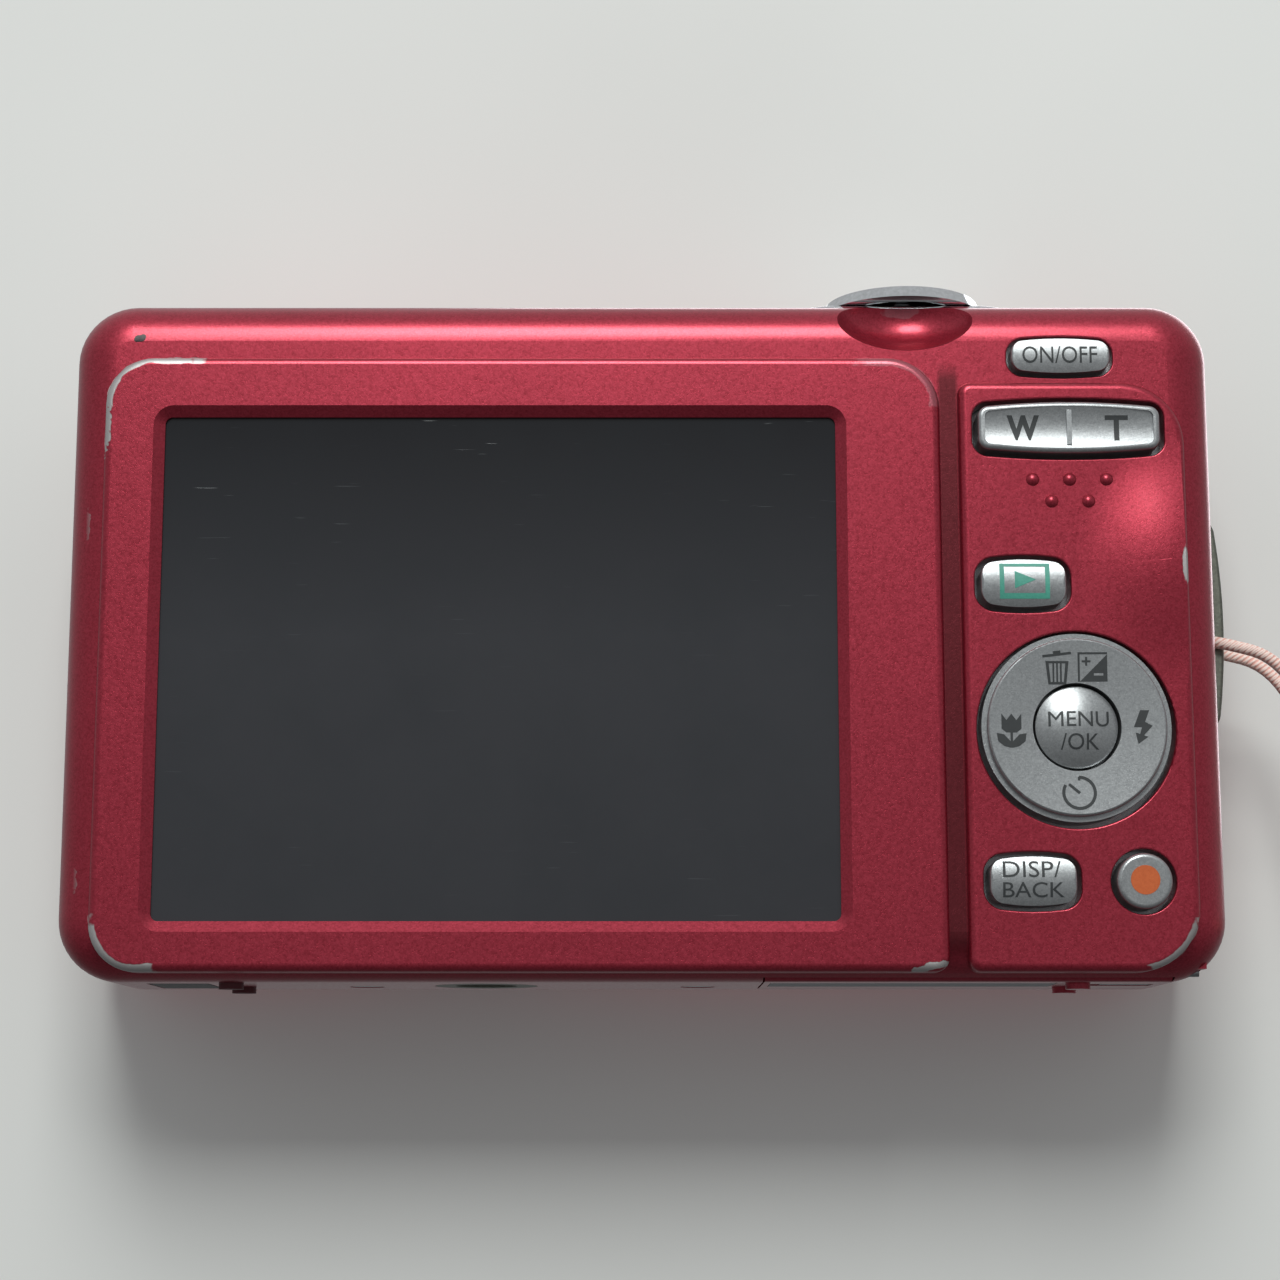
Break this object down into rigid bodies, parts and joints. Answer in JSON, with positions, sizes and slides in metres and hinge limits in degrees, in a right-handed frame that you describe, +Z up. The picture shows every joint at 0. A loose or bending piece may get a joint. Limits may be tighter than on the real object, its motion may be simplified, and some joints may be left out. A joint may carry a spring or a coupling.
{
  "type": "compact digital camera",
  "caption": "Slim red compact digital camera with a rear screen, key panel with zoom rocker and four-way selector, extending lens and a wrist strap.",
  "frame": {"origin": "on the surface the camera stands on, under the centre of the camera's bounding box, strap left out", "axes": "+Z up; +Y towards the screen side; the lens looks along -Y; keys, shutter and strap lug are on the -X side"},
  "size_m": [0.148, 0.034, 0.0586],
  "materials": {
    "shell_red": "metallic candy red paint with fine flake, semi-gloss, worn through to grey-white at the corners",
    "screen_glass": "dark glossy screen window with fine scratches",
    "key_silver": "satin silver paint with dark grey legends",
    "chrome_trim": "polished chrome plate",
    "lug_metal": "satin grey metal",
    "barrel_silver": "fine satin anodised aluminium",
    "steel": "plain steel",
    "black_plastic": "matt black moulded plastic",
    "grey_plastic": "silver-grey moulded plastic",
    "orange_plastic": "orange moulded plastic",
    "foot_rubber": "dark red rubber-like pads",
    "board_green": "green circuit board",
    "dome_steel": "thin spring-steel domes",
    "optics_glass": "clear coated glass",
    "ceramic_dark": "dark packaged component",
    "capacitor_sleeve": "black shrink sleeve",
    "strap_fabric": "ribbed woven rose-beige cord"
  },
  "bodies": {
    "root": {"rear_cover": "shell_red", "front_cover": "shell_red", "cover_screws": "steel", "flash_window": "optics_glass", "af_lamp_window": "optics_glass", "speaker": "black_plastic", "flash_unit": "black_plastic", "flash_capacitor": "capacitor_sleeve", "lcd_window": "screen_glass", "lcd_module": "ceramic_dark", "chassis_plate": "steel", "main_board": "board_green", "key_board": "board_green", "key_domes": "dome_steel", "shutter_base_plate": "chrome_trim", "shutter_ring": "chrome_trim", "shutter_switch": "black_plastic", "lens_deco_ring": "chrome_trim", "lens_housing": "black_plastic", "image_sensor": "ceramic_dark", "zoom_motor": "black_plastic", "battery": "grey_plastic", "battery_box": "black_plastic", "battery_contacts": "lug_metal", "memory_card": "black_plastic", "card_slot": "steel", "door_pin": "steel", "terminal_pin": "steel", "usb_port": "steel", "tripod_bush": "lug_metal", "bottom_feet": "foot_rubber", "strap_lug": "lug_metal", "strap_loop": "strap_fabric", "strap_ferrule": "grey_plastic", "strap_cord": "strap_fabric"},
    "power": {"power_button": "key_silver"},
    "rocker": {"zoom_rocker": "key_silver"},
    "playback": {"playback_button": "key_silver"},
    "gimbal": {"selector_gimbal": "black_plastic"},
    "selector": {"selector_ring": "key_silver"},
    "ok": {"ok_button": "key_silver"},
    "back": {"back_button": "key_silver"},
    "record": {"record_button": "key_silver"},
    "shutter": {"shutter_cap": "chrome_trim"},
    "barrel_outer": {"lens_barrel_outer": "barrel_silver"},
    "barrel_middle": {"lens_barrel_middle": "barrel_silver", "rear_lens_group": "optics_glass"},
    "barrel_inner": {"lens_barrel_inner": "barrel_silver", "front_lens": "optics_glass", "barrier_pins": "steel"},
    "barrier_upper": {"barrier_blade_upper": "black_plastic"},
    "barrier_lower": {"barrier_blade_lower": "black_plastic"},
    "battery_door": {"battery_door": "shell_red", "battery_door_strip": "grey_plastic"},
    "door_latch": {"door_latch": "grey_plastic"},
    "battery_latch": {"battery_latch": "orange_plastic"},
    "terminal_cover": {"terminal_cover": "black_plastic"}
  },
  "joints": [
    {"name": "power_press", "type": "slide", "parent": "root", "child": "power", "axis": [0, -1, 0], "range_m": [0, 0.00045], "stiffness_N_per_m": 150},
    {"name": "rocker_tilt", "type": "hinge", "parent": "root", "child": "rocker", "pos_m": [-0.0336, 0.0082, 0.0451], "axis": [0, 0, 1], "range_deg": [-3, 3], "stiffness_Nm_per_rad": 0.02},
    {"name": "playback_press", "type": "slide", "parent": "root", "child": "playback", "axis": [0, -1, 0], "range_m": [0, 0.00045], "stiffness_N_per_m": 150},
    {"name": "selector_tilt_up_down", "type": "hinge", "parent": "root", "child": "gimbal", "pos_m": [-0.0336, 0.0077, 0.0205], "axis": [1, 0, 0], "range_deg": [-1.5, 1.5], "stiffness_Nm_per_rad": 0.02},
    {"name": "selector_tilt_left_right", "type": "hinge", "parent": "gimbal", "child": "selector", "pos_m": [-0.0336, 0.0077, 0.0205], "axis": [0, 0, 1], "range_deg": [-1.5, 1.5], "stiffness_Nm_per_rad": 0.02},
    {"name": "ok_press", "type": "slide", "parent": "root", "child": "ok", "axis": [0, -1, 0], "range_m": [0, 0.0003], "stiffness_N_per_m": 150},
    {"name": "back_press", "type": "slide", "parent": "root", "child": "back", "axis": [0, -1, 0], "range_m": [0, 0.00045], "stiffness_N_per_m": 150},
    {"name": "record_press", "type": "slide", "parent": "root", "child": "record", "axis": [0, -1, 0], "range_m": [0, 0.00045], "stiffness_N_per_m": 150},
    {"name": "shutter_press", "type": "slide", "parent": "root", "child": "shutter", "axis": [0, 0, -1], "range_m": [0, 0.0004], "stiffness_N_per_m": 150},
    {"name": "lens_extend", "type": "slide", "parent": "root", "child": "barrel_outer", "axis": [0, -1, 0], "range_m": [0, 0.007]},
    {"name": "middle_extend", "type": "slide", "parent": "barrel_outer", "child": "barrel_middle", "axis": [0, -1, 0], "range_m": [0, 0.006]},
    {"name": "inner_extend", "type": "slide", "parent": "barrel_middle", "child": "barrel_inner", "axis": [0, -1, 0], "range_m": [0, 0.005]},
    {"name": "barrier_upper_turn", "type": "hinge", "parent": "barrel_inner", "child": "barrier_upper", "pos_m": [0.02605, -0.0105, 0.0272], "axis": [0, 1, 0], "range_deg": [0, 29]},
    {"name": "barrier_lower_turn", "type": "hinge", "parent": "barrel_inner", "child": "barrier_lower", "pos_m": [0.00195, -0.0105, 0.0258], "axis": [0, 1, 0], "range_deg": [0, 29]},
    {"name": "battery_door_swing", "type": "hinge", "parent": "root", "child": "battery_door", "pos_m": [-0.025, 0.0071, 0.00125], "axis": [1, 0, 0], "range_deg": [0, 90]},
    {"name": "door_latch_slide", "type": "slide", "parent": "battery_door", "child": "door_latch", "axis": [1, 0, 0], "range_m": [0, 0.0015]},
    {"name": "battery_latch_slide", "type": "slide", "parent": "root", "child": "battery_latch", "axis": [0, -1, 0], "range_m": [0, 0.0012], "stiffness_N_per_m": 60},
    {"name": "terminal_cover_swing", "type": "hinge", "parent": "root", "child": "terminal_cover", "pos_m": [0.03885, 0.0037, 0.0011], "axis": [1, 0, 0], "range_deg": [0, 90]}
  ],
  "couplings": [
    {"joint": "middle_extend", "follows": "lens_extend", "ratio": 0.857},
    {"joint": "inner_extend", "follows": "lens_extend", "ratio": 0.714},
    {"joint": "barrier_lower_turn", "follows": "barrier_upper_turn", "ratio": 1}
  ]
}
